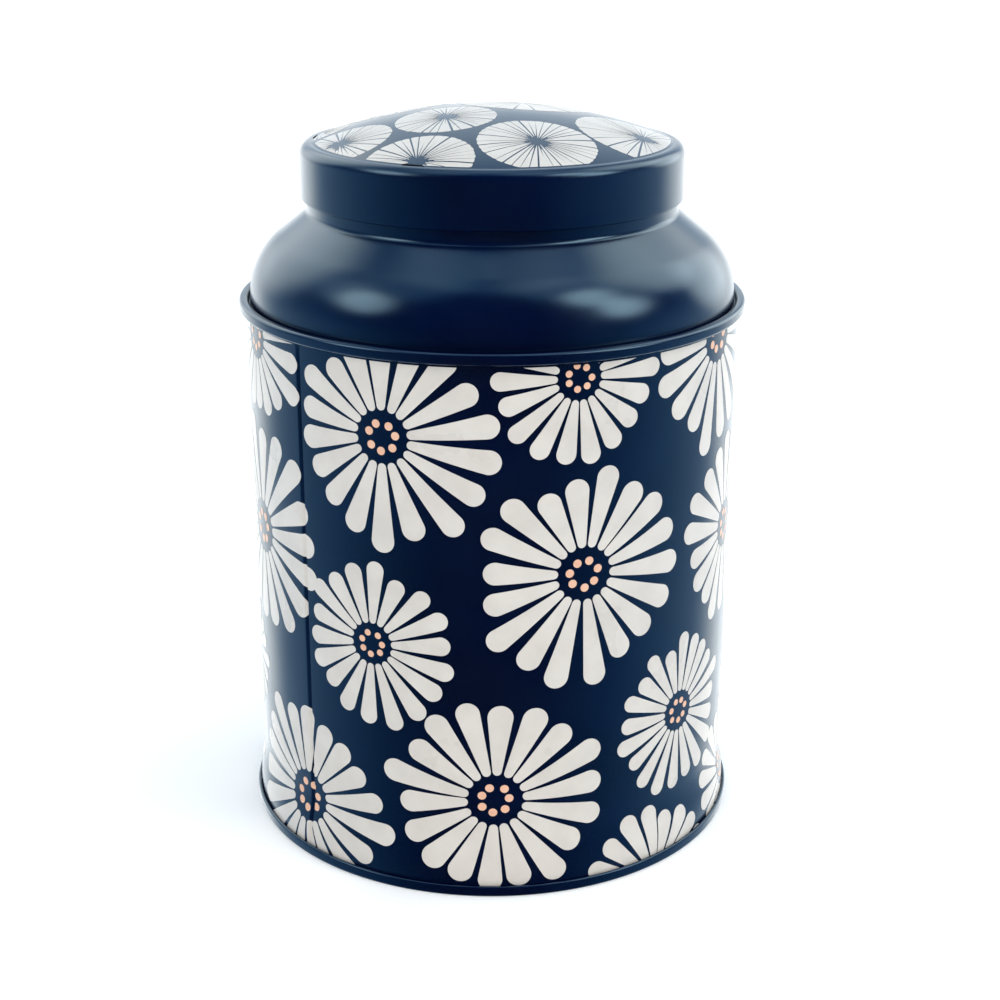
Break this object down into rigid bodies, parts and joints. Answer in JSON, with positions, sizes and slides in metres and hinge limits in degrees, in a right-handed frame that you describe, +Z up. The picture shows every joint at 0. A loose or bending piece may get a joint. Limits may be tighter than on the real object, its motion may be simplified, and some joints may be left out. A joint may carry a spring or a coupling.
{
  "type": "cookie tin",
  "caption": "Round lacquered cookie tin with a seamed body, rounded shoulder, neck and domed slip lid that lifts off.",
  "frame": {"origin": "centre of the foot, on the plane that the lower seam stands on", "axes": "+Z up along the tin's axis, -Y towards the front of the tin, +X to the right seen from the front"},
  "size_m": [0.1498, 0.1498, 0.2129],
  "materials": {
    "navy_lacquer": "glossy baked lacquer on tinplate",
    "cream_print": "satin off-white printing ink under varnish",
    "peach_print": "satin peach printing ink under varnish",
    "bare_tinplate": "bright rolled tinplate, faint rolling grain"
  },
  "bodies": {
    "tin": {"base": "navy_lacquer", "body_wall": "navy_lacquer", "shoulder": "navy_lacquer"},
    "lid": {"lid": "navy_lacquer"}
  },
  "joints": [
    {"name": "lid_lift", "type": "slide", "parent": "tin", "child": "lid", "axis": [0, 0, 1], "range_m": [0, 0.06]}
  ]
}
